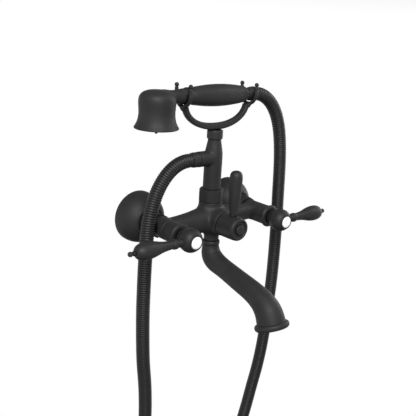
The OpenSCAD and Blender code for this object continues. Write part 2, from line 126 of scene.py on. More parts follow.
def maprange(nt, fac, a, b, lo, hi):
    m = nt.nodes.new("ShaderNodeMapRange")
    m.inputs["From Min"].default_value = a
    m.inputs["From Max"].default_value = b
    m.inputs["To Min"].default_value = lo
    m.inputs["To Max"].default_value = hi
    nt.links.new(fac, m.inputs["Value"])
    return m.outputs["Result"]


def math_node(nt, op, a, b):
    m = nt.nodes.new("ShaderNodeMath")
    m.operation = op
    for i, v in enumerate((a, b)):
        if isinstance(v, (int, float)):
            m.inputs[i].default_value = v
        else:
            nt.links.new(v, m.inputs[i])
    return m.outputs[0]


def bump(nt, bsdf, layers):
    """layers: [(height output, strength, distance)], stacked."""
    last = None
    for h, s, d in layers:
        b = nt.nodes.new("ShaderNodeBump")
        b.inputs["Strength"].default_value = s
        b.inputs["Distance"].default_value = d
        nt.links.new(h, b.inputs["Height"])
        if last is not None:
            nt.links.new(last, b.inputs["Normal"])
        last = b.outputs["Normal"]
    nt.links.new(last, bsdf.inputs["Normal"])


def powder_coat(name, dark, light, rough, peel=1.0, spec=0.5):
    """Matt powder coat: near black with a faint cloud of tone, painted shade in the creases, orange peel and a fine
    grain.
    """
    m, nt, b = new_mat(name)
    v = coords(nt)
    cloud = noise(nt, v, 38.0, 3.0, 0.55)
    grain = noise(nt, v, 2600.0, 2.0, 0.6)
    mix = math_node(nt, "ADD", math_node(nt, "MULTIPLY", cloud, 0.62), math_node(nt, "MULTIPLY", grain, 0.38))
    # painted shade: ambient occlusion darkens the base colour and weakens the specular in the seams and creases between
    # pieces
    ao = nt.nodes.new("ShaderNodeAmbientOcclusion")
    ao.inputs["Distance"].default_value = 0.0045
    ao.samples = 8
    crease_shade = maprange(nt, ao.outputs["AO"], 0.35, 0.85, 0.12, 1.0)
    tone = nt.nodes.new("ShaderNodeMix")
    tone.data_type = "RGBA"
    tone.inputs[6].default_value = (0.001, 0.001, 0.001, 1)
    nt.links.new(crease_shade, tone.inputs[0])
    nt.links.new(ramp(nt, mix, [(0.3, dark), (0.7, light)]), tone.inputs[7])
    nt.links.new(tone.outputs[2], b.inputs["Base Color"])
    blot = noise(nt, v, 95.0, 4.0, 0.6)
    nt.links.new(maprange(nt, blot, 0.3, 0.7, rough - 0.05, rough + 0.06), b.inputs["Roughness"])
    nt.links.new(math_node(nt, "MULTIPLY", crease_shade, spec), b.inputs["Specular IOR Level"])
    peel_h = noise(nt, v, 620.0, 2.0, 0.5)
    bump(nt, b, [(peel_h, 0.10 * peel, 0.00035), (grain, 0.16 * peel, 0.00008)])
    return m


MAT = {}
MAT["black"] = powder_coat("matt_black_coat", (0.0135, 0.0135, 0.0138), (0.0208, 0.0208, 0.0211), 0.55, spec=0.2)
MAT["black_fine"] = powder_coat("matt_black_small", (0.0128, 0.0128, 0.0131), (0.0198, 0.0198, 0.0201), 0.5, peel=0.7, spec=0.22)


def hose_material():
    m, nt, b = new_mat("black_hose_metal")
    v = coords(nt)
    at = nt.nodes.new("ShaderNodeAttribute")
    at.attribute_name = "ridge"
    smear = noise(nt, v, 260.0, 3.0, 0.6)
    # painted shade: the sunk seams between the windings are coloured darker than the ridges
    col = ramp(nt, at.outputs["Fac"], [(0.0, (0.0022, 0.0022, 0.0023)), (0.55, (0.0092, 0.0092, 0.0094)), (1.0, (0.0192, 0.0192, 0.0195))])
    nt.links.new(col, b.inputs["Base Color"])
    r = math_node(nt, "ADD", maprange(nt, smear, 0.3, 0.7, 0.36, 0.48), math_node(nt, "MULTIPLY", at.outputs["Fac"], -0.04))
    nt.links.new(r, b.inputs["Roughness"])
    b.inputs["Specular IOR Level"].default_value = 0.2
    grain = noise(nt, v, 3000.0, 2.0, 0.5)
    bump(nt, b, [(grain, 0.12, 0.00006)])
    return m


MAT["hose"] = hose_material()


def enamel():
    m, nt, b = new_mat("white_enamel")
    v = coords(nt)
    n = noise(nt, v, 150.0, 3.0, 0.5)
    nt.links.new(ramp(nt, n, [(0.3, (0.80, 0.80, 0.775)), (0.7, (0.86, 0.86, 0.84))]), b.inputs["Base Color"])
    nt.links.new(maprange(nt, n, 0.3, 0.7, 0.10, 0.2), b.inputs["Roughness"])
    b.inputs["Coat Weight"].default_value = 0.7
    b.inputs["Coat Roughness"].default_value = 0.06
    wave = noise(nt, v, 420.0, 1.0, 0.5)
    bump(nt, b, [(wave, 0.05, 0.0002)])
    return m


MAT["enamel"] = enamel()


def turned_metal(name, dark, light, rough, black_past=None):
    """Machined metal with fine tool rings; past a distance from the wall it turns black."""
    m, nt, b = new_mat(name)
    v = coords(nt)
    n = noise(nt, v, 190.0, 4.0, 0.6)
    fine = noise(nt, coords(nt, (1.0, 40.0, 1.0)), 500.0, 2.0, 0.5)
    col = ramp(nt, n, [(0.3, dark), (0.7, light)])
    b.inputs["Metallic"].default_value = 1.0
    if black_past is not None:
        tc = nt.nodes.new("ShaderNodeTexCoord")
        sx = nt.nodes.new("ShaderNodeSeparateXYZ")
        nt.links.new(tc.outputs["Object"], sx.inputs[0])
        k = math_node(nt, "LESS_THAN", sx.outputs["Y"], -black_past)
        mx = nt.nodes.new("ShaderNodeMix")
        mx.data_type = "RGBA"
        nt.links.new(k, mx.inputs[0])
        nt.links.new(col, mx.inputs[6])
        mx.inputs[7].default_value = (0.012, 0.012, 0.012, 1)
        col = mx.outputs[2]
        nt.links.new(math_node(nt, "SUBTRACT", 1.0, k), b.inputs["Metallic"])
    nt.links.new(col, b.inputs["Base Color"])
    nt.links.new(maprange(nt, fine, 0.25, 0.75, rough - 0.07, rough + 0.1), b.inputs["Roughness"])
    bump(nt, b, [(fine, 0.12, 0.0001)])
    return m


MAT["brass"] = turned_metal("turned_brass", (0.50, 0.335, 0.125), (0.66, 0.47, 0.20), 0.3)
MAT["brass_black"] = turned_metal("turned_brass_black_nose", (0.50, 0.335, 0.125), (0.66, 0.47, 0.20), 0.3, black_past=0.088)
MAT["steel"] = turned_metal("turned_steel", (0.42, 0.42, 0.43), (0.56, 0.56, 0.57), 0.28)


def rubber():
    m, nt, b = new_mat("black_rubber")
    v = coords(nt)
    n = noise(nt, v, 700.0, 4.0, 0.6)
    nt.links.new(ramp(nt, n, [(0.3, (0.012, 0.012, 0.012)), (0.7, (0.022, 0.022, 0.021))]), b.inputs["Base Color"])
    nt.links.new(maprange(nt, n, 0.3, 0.7, 0.6, 0.8), b.inputs["Roughness"])
    bump(nt, b, [(n, 0.2, 0.0001)])
    return m


def plastic_white():
    m, nt, b = new_mat("white_moulded_plastic")
    v = coords(nt)
    n = noise(nt, v, 900.0, 3.0, 0.5)
    nt.links.new(ramp(nt, n, [(0.3, (0.66, 0.66, 0.64)), (0.7, (0.74, 0.74, 0.72))]), b.inputs["Base Color"])
    nt.links.new(maprange(nt, n, 0.3, 0.7, 0.38, 0.5), b.inputs["Roughness"])
    bump(nt, b, [(n, 0.1, 0.00008)])
    return m


MAT["rubber"] = rubber()
MAT["plastic"] = plastic_white()


# ------------------------------------------------------------ mesh helpers
def make(name, verts, faces, mat, body, replaces=(), sharp=38.0):
    """A mesh piece from points in millimetres, smooth shaded with sharp edges kept."""
    me = bpy.data.meshes.new(name)
    me.from_pydata([tuple(float(c) * MM for c in p) for p in verts], [], [tuple(int(i) for i in f) for f in faces])
    me.validate()
    me.update()
    for p in me.polygons:
        p.use_smooth = True
    if sharp:
        me.set_sharp_from_angle(angle=math.radians(sharp))
    o = bpy.data.objects.new(name, me)
    scene.collection.objects.link(o)
    o.data.materials.append(MAT[mat] if isinstance(mat, str) else mat)
    if body:
        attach(o, body)
    if replaces:
        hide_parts(*replaces)
    return o


def spline(pts, n=5):
    """Centripetal Catmull-Rom through the points."""
    P = np.array(pts, float)
    if len(P) < 3:
        return P
    Q = np.vstack([2 * P[0] - P[1], P, 2 * P[-1] - P[-2]])
    out = []
    for i in range(1, len(Q) - 2):
        p0, p1, p2, p3 = Q[i - 1:i + 3]
        t0 = 0.0
        t1 = t0 + max(np.linalg.norm(p1 - p0), 1e-9) ** 0.5
        t2 = t1 + max(np.linalg.norm(p2 - p1), 1e-9) ** 0.5
        t3 = t2 + max(np.linalg.norm(p3 - p2), 1e-9) ** 0.5
        for k in range(n):
            t = t1 + (t2 - t1) * k / n
            a1 = (t1 - t) / (t1 - t0) * p0 + (t - t0) / (t1 - t0) * p1
            a2 = (t2 - t) / (t2 - t1) * p1 + (t - t1) / (t2 - t1) * p2
            a3 = (t3 - t) / (t3 - t2) * p2 + (t - t2) / (t3 - t2) * p3
            b1 = (t2 - t) / (t2 - t0) * a1 + (t - t0) / (t2 - t0) * a2
            b2 = (t3 - t) / (t3 - t1) * a2 + (t - t1) / (t3 - t1) * a3
            out.append((t2 - t) / (t2 - t1) * b1 + (t - t1) / (t2 - t1) * b2)
    out.append(P[-1])
    return np.array(out)


def runs(*parts, f=0.3, n=5):
    """Joins runs of [r, h] points; each run is splined, and the corners between runs are rounded by f mm."""
    curves = [spline(p, n) for p in parts]
    out = [curves[0][0]]
    for i, c in enumerate(curves):
        body = list(c)
        if i + 1 < len(curves):
            nxt = curves[i + 1]
            a, corner, b = body[-2], body[-1], nxt[1]
            la, lb = np.linalg.norm(corner - a), np.linalg.norm(b - corner)
            d = min(f, 0.45 * la, 0.45 * lb)
            pa, pb = corner + (a - corner) / la * d, corner + (b - corner) / lb * d
            out += body[1:-1]
            if d > 0.02:
                for t in (0.0, 0.25, 0.5, 0.75, 1.0):
                    out.append((1 - t) ** 2 * pa + 2 * t * (1 - t) * corner + t * t * pb)
            else:
                out.append(corner)
        else:
            out += body[1:]
    return np.array(out)


def basis(axis):
    """(u, v) with u x v = axis."""
    a = np.array(axis, float)
    a /= np.linalg.norm(a)
    u = np.cross(a, [0, 0, 1]) if abs(a[2]) < 0.9 else np.array([1.0, 0, 0])
    u -= a * u.dot(a)
    u /= np.linalg.norm(u)
    return u, np.cross(a, u), a


def lathe_mesh(prof, origin, axis, seg=96):
    """Verts and faces of a closed turned solid; prof runs from the axis, round the outside, back to the axis (or is a closed loop clear of it)."""
    prof = np.array(prof, float)
    keep = [0] + [i for i in range(1, len(prof)) if np.linalg.norm(prof[i] - prof[i - 1]) > 1e-4]
    prof = prof[keep]
    closed = prof[0][0] > 1e-6 and prof[-1][0] > 1e-6
    u, v, a = basis(axis)
    o = np.array(origin, float)
    ang = np.arange(seg) * 2 * math.pi / seg
    verts, rings = [], []
    for r, h in prof:
        if r <= 1e-6:
            rings.append([len(verts)])
            verts.append(o + a * h)
        else:
            rings.append(list(range(len(verts), len(verts) + seg)))
            for t in ang:
                verts.append(o + a * h + r * (u * math.cos(t) + v * math.sin(t)))
    faces = []
    pairs = list(zip(rings, rings[1:])) + ([(rings[-1], rings[0])] if closed else [])
    for A, B in pairs:
        if len(A) == 1 and len(B) == 1:
            continue
        for k in range(seg):
            k2 = (k + 1) % seg
            if len(A) == 1:
                faces.append((A[0], B[k2], B[k]))
            elif len(B) == 1:
                faces.append((A[k], A[k2], B[0]))
            else:
                faces.append((A[k], A[k2], B[k2], B[k]))
    return verts, faces


def outward(verts, faces):
    """Flips the faces if the closed mesh is inside out."""
    V = np.array(verts, float)
    vol = 0.0
    for f in faces:
        for i in range(1, len(f) - 1):
            vol += np.dot(V[f[0]], np.cross(V[f[i]], V[f[i + 1]]))
    return faces if vol > 0 else [tuple(reversed(f)) for f in faces]


def lathe(name, prof, origin, axis, mat, body, replaces=(), seg=96, sharp=38.0):
    v, f = lathe_mesh(prof, origin, axis, seg)
    return make(name, v, outward(v, f), mat, body, replaces, sharp)


def join_meshes(parts):
    verts, faces = [], []
    for v, f in parts:
        n = len(verts)
        verts += list(v)
        faces += [tuple(i + n for i in x) for x in f]
    return verts, faces


def hex_mesh(af, h0, h1, bore, origin, axis, turn=0.0, corner=None, chamfer=0.55):
    """A hexagon nut with turned chamfers, as a closed ring round its bore."""
    u, v, a = basis(axis)
    o = np.array(origin, float)
    seg = 180
    ac = min(af / 2 / math.cos(math.pi / 6), corner or 1e9)
    hs = [h0, h0 + 0.15, h0 + 0.4, h0 + 0.8, h0 + 1.3, h0 + 2.0, (h0 + h1) / 2, h1 - 2.0, h1 - 1.3, h1 - 0.8, h1 - 0.4, h1 - 0.15, h1]
    verts, faces = [], []
    n = len(hs)
    for h in hs:
        e = min(h - h0, h1 - h)
        lim = af / 2 - chamfer * 0.35 + e * 1.75 + (0.0 if e > 0.12 else -0.12)
        for k in range(seg):
            t = k * 2 * math.pi / seg
            d = (math.degrees(t) + 30) % 60 - 30
            r = min(af / 2 / math.cos(math.radians(d)), ac - 0.22, lim)
            q = t + math.radians(turn)
            verts.append(o + a * h + r * (u * math.cos(q) + v * math.sin(q)))
    for h in (h1, h0):
        for k in range(seg):
            q = k * 2 * math.pi / seg + math.radians(turn)
            verts.append(o + a * h + bore * (u * math.cos(q) + v * math.sin(q)))
    for i in range(n + 1):
        A, B = i * seg, ((i + 1) % (n + 2)) * seg
        for k in range(seg):
            k2 = (k + 1) % seg
            faces.append((A + k, A + k2, B + k2, B + k))
    A, B = (n + 1) * seg, 0
    for k in range(seg):
        k2 = (k + 1) % seg
        faces.append((A + k, A + k2, B + k2, B + k))
    return verts, outward(verts, faces)


OUT = (0, -1, 0)   # out of the wall


# ----------------------------------------------- the hose, a free tube built first
HOSE_LINE = [[-36, 79], [-44, 79], [-56, 76], [-67.5, 69], [-77.5, 58.5], [-86, 44.5], [-92, 28], [-96.5, 8], [-98.5, -16], [-99.5, -44], [-100, -76], [-100, -108],
             [-99, -140], [-97, -175], [-93, -211], [-91, -247], [-91, -283], [-89, -319], [-83, -356], [-67, -392], [-37, -418], [1, -425], [37, -414], [66, -389],
             [86, -357], [98, -321], [107, -286], [115.5, -254], [121.5, -221], [125, -188], [127, -154], [129, -122], [129.5, -90], [129, -56], [128, -22], [126, 12],
             [124.5, 42], [122.5, 68], [119, 92], [114, 112], [106, 129.5], [95, 143.5], [82, 152.5], [70, 156.5], [62, 156.5]]
HOSE_D = 17.2


def uniform_cr(pts, n):
    P = np.array(pts, float)
    Q = np.vstack([P[0], P, P[-1]])
    out = []
    for i in range(1, len(Q) - 2):
        a, b, c, d = Q[i - 1:i + 3]
        for t in np.arange(n) / n:
            out.append(0.5 * (2 * b + (c - a) * t + (2 * a - 5 * b + 4 * c - d) * t * t + (3 * b - a - 3 * c + d) * t ** 3))
    out.append(P[-1])
    return np.array(out)


def resample(line, step):
    d = np.r_[0, np.cumsum(np.linalg.norm(np.diff(line, axis=0), axis=1))]
    n = max(2, int(round(d[-1] / step)) + 1)
    s = np.linspace(0, d[-1], n)
    return np.stack([np.interp(s, d, line[:, k]) for k in range(line.shape[1])], 1), d[-1]


def build_hose():
    pitch, per = 2.9, 8
    fine = uniform_cr(HOSE_LINE, 40)
    line, length = resample(fine, 0.5)
    # light smoothing keeps the turn even between the route's points
    for _ in range(260):
        line[1:-1] = 0.5 * line[1:-1] + 0.25 * (line[:-2] + line[2:])
    line, length = resample(line, pitch / per)
    n = len(line)
    tang = np.gradient(line, axis=0)
    tang /= np.linalg.norm(tang, axis=1)[:, None]
    tang[0] = (-1, 0)
    tang[-1] = (-1, 0)
    nrm = np.stack([tang[:, 1], -tang[:, 0]], 1)
    phase = np.arange(n) % per
    # a wound strip: a round-backed ridge and a narrow sunk seam
    shape = np.array([0.0, 0.55, 0.88, 1.0, 1.0, 0.93, 0.7, 0.25])
    depth = 0.6
    ridge = shape[phase]
    # plain drawn ends where the hose is crimped in its nuts
    s = np.arange(n) * length / (n - 1)
    endw = np.clip(np.minimum(s, length - s) / 3.0 - 0.6, 0, 1)
    r = HOSE_D / 2 - depth + depth * (ridge * endw + (1 - endw) * 0.35)
    seg = 28
    verts, ridges = [], []
    for i in range(n):
        for k in range(seg):
            t = k * 2 * math.pi / seg
            verts.append((line[i, 0] + nrm[i, 0] * r[i] * math.cos(t), -COL + r[i] * math.sin(t), line[i, 1] + nrm[i, 1] * r[i] * math.cos(t)))
            ridges.append(ridge[i] * endw[i] + (1 - endw[i]) * 0.7)
    faces = []
    for i in range(n - 1):
        for k in range(seg):
            k2 = (k + 1) % seg
            faces.append((i * seg + k, (i + 1) * seg + k, (i + 1) * seg + k2, i * seg + k2))
    faces.append(tuple(range(seg)))
    faces.append(tuple((n - 1) * seg + k for k in reversed(range(seg))))
    V = np.array(verts)
    faces = outward(V[:], faces)
    o = make("shower_hose", verts, faces, "hose", None, ("hose",), sharp=None)
    # the ridge value also drives the painted groove shade in the hose material
    at = o.data.attributes.new("ridge", "FLOAT", "POINT")
    at.data.foreach_set("value", np.array(ridges, np.float32))
    path = [(x * MM, -COL * MM, z * MM) for x, z in line[::12]] + [(line[-1][0] * MM, -COL * MM, line[-1][1] * MM)]
    return o, path, length


hose, hose_path, hose_len = build_hose()
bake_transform(hose)


# --------------------------------------------------- distance-field casting
def poly_sd(r, h, poly):
    """Signed distance from (r, h) to a closed polygon, negative inside."""
    P = np.array(poly, float)
    Q = np.roll(P, -1, axis=0)
    best = np.full(r.shape, 1e18)
    inside = np.zeros(r.shape, bool)
    for (ax, ay), (bx, by) in zip(P, Q):
        ex, ey = bx - ax, by - ay
        L = ex * ex + ey * ey
        if L < 1e-12:
            continue
        t = np.clip(((r - ax) * ex + (h - ay) * ey) / L, 0, 1)
        dx, dy = r - ax - t * ex, h - ay - t * ey
        best = np.minimum(best, dx * dx + dy * dy)
        cond = (ay > h) != (by > h)
        with np.errstate(divide="ignore", invalid="ignore"):
            xi = (bx - ax) * (h - ay) / (by - ay) + ax
        inside ^= cond & (r < xi)
    d = np.sqrt(best)
    return np.where(inside, -d, d)


def mirror_poly(prof):
    """Outline of a turned solid on both sides of its axis."""
    p = [tuple(x) for x in prof]
    return p + [(-r, h) for r, h in reversed(p) if r > 1e-6]


class Turned:
    def __init__(self, prof, origin, axis):
        self.prof = np.array(prof, float)
        self.poly = mirror_poly(self.prof)
        self.o, self.axis = np.array(origin, float), np.array(axis, float) / np.linalg.norm(axis)

    def sd(self, P):
        q = P - self.o
        h = q @ self.axis
        r = np.linalg.norm(q - h[:, None] * self.axis, axis=1)
        return poly_sd(r, h, self.poly)

    def mesh(self, seg=64):
        v, f = lathe_mesh(self.prof, self.o, self.axis, seg)
        return v, outward(v, f)


def smin(a, b, k):
    h = np.clip(0.5 + 0.5 * (b - a) / k, 0, 1)
    return b * (1 - h) + a * h - k * h * (1 - h)


def cast(name, field, parts, voxel, mat, body, replaces=(), extra=(), iters=5, smooth=0):
    """Voxel-remeshes the joined parts, then moves each vertex onto the smooth field's surface, so junctions get true fillets."""
    v, f = join_meshes([p.mesh() if isinstance(p, Turned) else p for p in parts])
    me = bpy.data.meshes.new(name + "_raw")
    me.from_pydata([tuple(float(c) * MM for c in p) for p in v], [], f)
    o = bpy.data.objects.new(name + "_raw", me)
    scene.collection.objects.link(o)
    mod = o.modifiers.new("remesh", "REMESH")
    mod.mode = "VOXEL"
    mod.voxel_size = voxel * MM * 1.0
    mod.use_smooth_shade = True
    dg = bpy.context.evaluated_depsgraph_get()
    ev = bpy.data.meshes.new_from_object(o.evaluated_get(dg), depsgraph=dg)
    bpy.data.objects.remove(o)
    n = len(ev.vertices)
    co = np.zeros(n * 3)
    ev.vertices.foreach_get("co", co)
    P = co.reshape(-1, 3) / MM
    edges = np.zeros(len(ev.edges) * 2, int)
    ev.edges.foreach_get("vertices", edges)
    E = edges.reshape(-1, 2)
    deg = np.zeros(n)
    np.add.at(deg, E[:, 0], 1)
    np.add.at(deg, E[:, 1], 1)

    def relax(P, w):
        acc = np.zeros_like(P)
        np.add.at(acc, E[:, 0], P[E[:, 1]])
        np.add.at(acc, E[:, 1], P[E[:, 0]])
        return P + w * (acc / np.maximum(deg, 1)[:, None] - P)

    eps = 0.02
    iters = iters
    for it in range(iters):
        if it < iters - 1:
            P = relax(P, 0.5)
        d = field(P)
        g = np.stack([(field(P + e) - field(P - e)) / (2 * eps) for e in np.eye(3) * eps], 1)
        gl = np.linalg.norm(g, axis=1)
        step = np.clip(d / np.maximum(gl, 0.3), -2.0, 2.0)
        P = P - (g / np.maximum(gl, 1e-6)[:, None]) * step[:, None]
    for _ in range(smooth):
        P = relax(P, 0.5)
    verts = [tuple(p) for p in P]
    faces = [tuple(p.vertices) for p in ev.polygons]
    bpy.data.meshes.remove(ev)
    if extra:
        v2, f2 = join_meshes([(verts, faces)] + list(extra))
        verts, faces = v2, f2
    return make(name, verts, faces, mat, body, replaces, sharp=50.0)


# --------------------------------------------------------------- mixer body
def build_body():
    def barrel_prof():
        return runs([[0, 47.4], [12.2, 47.4]], [[12.2, 47.4], [12.8, 48.4]], [[12.8, 48.4], [12.8, 66.2]], [[12.8, 66.2], [0, 66.2]], f=0.8)
    bl, br = Turned(barrel_prof(), (-IX, 0, 0), OUT), Turned(barrel_prof(), (IX, 0, 0), OUT)
    arm = spline([[16.8, 2], [16.5, 12], [15.9, 19], [14.7, 26], [13.4, 34], [12.4, 43], [11.5, 53], [10.9, 64], [10.8, 70]], 3)
    arm = np.vstack([[0, 0], [16.8, 0], arm, [9.8, 71.5], [0, 71.5]])
    al, ar = Turned(arm, (0, -57, 0), (-1, 0, 0)), Turned(arm, (0, -57, 0), (1, 0, 0))
    up = runs([[0, 0], [17, 0]], [[17, 0], [16.3, 10], [15.4, 17], [15.0, 23.3]], [[15.0, 23.3], [0, 23.3]], f=0.7)
    upper = Turned(up, (0, -COL, 0), (0, 0, 1))
    lo = runs([[0, -26.8], [9.6, -26.8]], [[9.6, -26.8], [9.7, -22], [10.5, -18], [12.3, -14], [14.1, -9], [15, -3], [15, 4]], [[15, 4], [0, 4]], f=0.6)
    lower = Turned(lo, (0, -SPY, 0), (0, 0, 1))
    ball = Turned([[16.3 * math.sin(t), -16.3 * math.cos(t)] for t in np.linspace(0, math.pi, 33)], (0, -58, 0), (0, 0, 1))
    hs = runs([[0, 58], [17, 58]], [[17, 58], [16.8, 66], [16.3, 74], [15.9, 79], [15.6, 81.9]], [[15.6, 81.9], [15, 82.8]], [[15, 82.8], [0, 82.8]], f=0.5)
    house = Turned(hs, (0, 0, 0), OUT)

    def field(P):
        core = smin(smin(upper.sd(P), ball.sd(P), 3.0), lower.sd(P), 5.0)
        arms = np.minimum(al.sd(P), ar.sd(P))
        d = smin(core, arms, 6.0)
        d = smin(d, house.sd(P), 3.5)
        return smin(d, np.minimum(bl.sd(P), br.sd(P)), 3.0)

    extra = []
    for s in (-1, 1):
        # crisp machined front of the barrel, with its groove, and the captive tail behind it
        front = runs([[0, 60], [12.78, 60]], [[12.78, 60], [12.8, 61.2]], [[12.8, 61.2], [12.8, 68.6]], [[12.8, 68.6], [12.25, 69.2]], [[12.25, 69.2], [12.25, 70.6]],
                     [[12.25, 70.6], [12.8, 71.2]], [[12.8, 71.2], [12.8, 85.9]], [[12.8, 85.9], [0, 85.9]], f=0.3)
        extra.append((lambda m: (m[0], outward(*m)))(lathe_mesh(front, (s * IX, 0, 0), OUT, 96)))
        tail = runs([[0, 40.5], [9.5, 40.5]], [[9.5, 40.5], [9.5, 52]], [[9.5, 52], [0, 52]], f=0.3)
        extra.append((lambda m: (m[0], outward(*m)))(lathe_mesh(tail, (s * IX, 0, 0), OUT, 64)))
    return cast("body_casting", field, [bl, br, al, ar, upper, lower, ball, house], 0.8, "black", "mixer", replaces=("mixer_body",), extra=extra)


build_body()


# --------------------------------------------------- wall covers and unions
def ellipse_arc(a, b, t0, t1, n, c=0.0):
    return [[a * math.cos(t), c + b * math.sin(t)] for t in np.linspace(math.radians(t0), math.radians(t1), n)]


for side, s in (("left", -1), ("right", 1)):
    o = (s * IX, 0, 0)
    dome = runs([[13.5, 31], [15.1, 31]], [[15.1, 31], [15.35, 30.5], [15.7, 29.9]] + [[32.8 * math.cos(t) * (1 + 0.022 * math.sin(2 * t)), 2.2 + 34.4 * math.sin(t) * 0.985] for t in np.linspace(math.radians(56), math.radians(1.5), 26)], [[32.8, 2.4], [32.8, 0]],
                [[32.8, 0], [30.2, 0]], [[30.2, 0], [30.2, 1.8]], ellipse_arc(30.2, 32.4, 1, 52, 16, 1.8), [[18.6, 27.2], [13.5, 27.6]], [[13.5, 27.6], [13.5, 31]], f=0.35, n=3)
    lathe("cover_" + side, dome, o, OUT, "black", "mixer", replaces=("escutcheon_" + side,), seg=144)
    v, f = hex_mesh(29.0, 32, 47, 9.8, o, OUT, turn=0.0)
    make("union_hexagon_" + side, v, f, "black_fine", "mixer", replaces=("union_nut_" + side,), sharp=22)

# brass unions with their wall threads cut
for side, s in (("left", -1), ("right", 1)):
    prof = [[7.0, -18.0], [9.3, -18.0]]
    h = -17.4
    while h < -1.0:
        prof += [[9.35, h], [10.45, h + 0.85], [10.45, h + 1.0]]
        h += 1.814
    prof += [[9.4, h], [9.4, 0.2], [13.2, 0.2], [13.2, 38.5], [7.0, 38.5]]
    lathe("wall_thread_" + side, prof, (s * IX, 0, 0), OUT, "brass", "mixer", ("wall_union_" + side,), seg=72, sharp=30)


# ------------------------------------------------------------ valves, hubs
def bead(r, w, h0, h1, n=9):
    """A half-round bead from height h0 to h1 standing w proud of radius r."""
    return [[r + w * math.sin(t), h0 + (h1 - h0) * (1 - math.cos(t)) / 2] for t in np.linspace(0, math.pi, n)]


for side, s, body in (("left", -1, "handle_left"), ("right", 1, "handle_right")):
    o = (s * IX, 0, 0)
    ring = runs([[6.4, 86.1], [13.0, 86.1]], [[13.0, 86.1], [13.25, 86.5]], bead(13.25, 1.3, 86.6, 90.3, 13), [[13.25, 90.4], [12.7, 90.95]], [[12.7, 90.95], [6.4, 90.95]], [[6.4, 90.95], [6.4, 86.1]], f=0.25, n=3)
    lathe("bonnet_" + side, ring, o, OUT, "black_fine", "mixer", replaces=("bonnet_ring_" + side,), seg=112)
    # the hub: a footed onion, open at the front for the button
    hub = runs([[0, 93.2], [8.2, 93.2]], [[8.2, 93.2], [9.1, 93.9], [9.3, 94.9], [9.2, 95.5]], [[9.2, 95.5], [10.3, 97.3], [11.8, 99.6], [13.1, 102.2], [14.05, 105.3], [14.4, 108.4], [14.25, 111.2],
                [13.5, 113.7], [12.25, 115.9], [10.9, 117.5], [10.2, 118.1]], [[10.2, 118.1], [9.6, 118.5], [9.55, 119.2], [9.1, 119.9], [8.5, 120.1], [7.9, 119.8], [7.62, 119.2]],
               [[7.62, 119.2], [7.6, 113]], [[7.6, 113], [0, 113]], f=0.3)
    lathe("hub_body_" + side, hub, o, OUT, "black_fine", body, replaces=("hub_" + side,), seg=112)
    but = runs([[0, 113.3], [7.3, 113.3]], [[7.3, 113.3], [7.4, 113.6], [7.4, 119.4]], [[7.4, 119.4], [7.25, 120.0], [6.8, 120.5], [6.0, 120.85], [4.4, 121.15], [2.4, 121.33], [0, 121.4]], f=0.15)
    lathe("enamel_button_" + side, but, o, OUT, "enamel", body, ("button_" + side,), seg=96, sharp=60)
    # lever, turned along its length
    lv = runs([[0, 12.9], [4.6, 12.9]], [[4.6, 12.9], [4.5, 15.6], [4.5, 17.0]], bead(4.5, 0.55, 17.1, 19.4, 9), [[4.5, 19.5], [4.6, 20.3]], bead(4.75, 1.25, 20.5, 27.6, 17),
              [[4.85, 27.7], [4.95, 29], [5.2, 32], [5.6, 36], [6.1, 40], [7.0, 44.5], [8.1, 49], [9.2, 54], [9.9, 59], [10.1, 63.5], [9.9, 67.5], [9.1, 71], [7.7, 74],
               [5.8, 76.1], [4.0, 77.2], [2.4, 77.6]], [[2.4, 77.6], [0, 77.7]], f=0.3)
    lathe("lever_arm_" + side, lv, (s * IX, -LEV, 0), (s, 0, 0), "black_fine", body, replaces=("lever_" + side,), seg=96)
    fin = runs([[0, 77.4], [2.3, 77.4]], [[2.3, 77.4], [2.0, 77.9]], bead(2.0, 1.0, 78.0, 80.1, 9), [[1.7, 80.2], [1.3, 80.7], [1.3, 81.15]], [[1.3, 81.15]] +
               [[3 * math.cos(t), 83.6 + 3 * math.sin(t)] for t in np.linspace(math.radians(-54), math.radians(86), 14)] + [[0, 86.6]], f=0.12, n=3)
    lathe("finial_ball_" + side, fin, (s * IX, -LEV, 0), (s, 0, 0), "black_fine", body, replaces=("finial_" + side,), seg=64)

# ---------------------------------------------------------------- diverter
knob = runs([[9.8, 83.35], [14.4, 83.35]], [[14.4, 83.35], [15.1, 84.1]], [[15.1, 84.1], [15.0, 92], [14.9, 100], [14.75, 104.5], [14.6, 107.4], [14.3, 109.4], [13.7, 110.9], [12.9, 111.7], [12.0, 112.0], [11.2, 111.9]],
            [[11.2, 111.9], [10.5, 111.4], [10.0, 110.6]], [[10.0, 110.6], [7.9, 110.5]], [[7.9, 110.5], [0, 110.5]], f=0.3)
knob = np.vstack([knob, [[0, 92.3], [9.8, 92.3]]])
lathe("diverter_body", knob, (0, 0, 0), OUT, "black_fine", "diverter", replaces=("diverter_knob",), seg=128)
cap = runs([[0, 105], [6.4, 105]], [[6.4, 105], [6.4, 110.4], [6.4, 111.6]], [[6.4, 111.6], [6.25, 112.5], [5.7, 113.15], [4.5, 113.6], [2.4, 113.85], [0, 113.9]], f=0.3)
lathe("diverter_boss", cap, (0, 0, 0), OUT, "black_fine", "diverter", replaces=("diverter_cap",), seg=96)
dl = runs([[0, 12], [4.2, 12]], [[4.2, 12], [4.3, 14], [4.5, 16], [5.1, 20], [5.8, 25], [6.5, 31], [7.1, 38], [7.5, 45], [7.8, 53], [8.0, 60], [7.9, 64], [7.4, 67], [6.3, 69.3], [4.7, 70.7], [2.5, 71.5], [0, 71.8]], f=0.3)
lathe("diverter_arm", dl, (0, -98.5, 0), (0, 0, 1), "black_fine", "diverter", replaces=("diverter_lever",), seg=96)

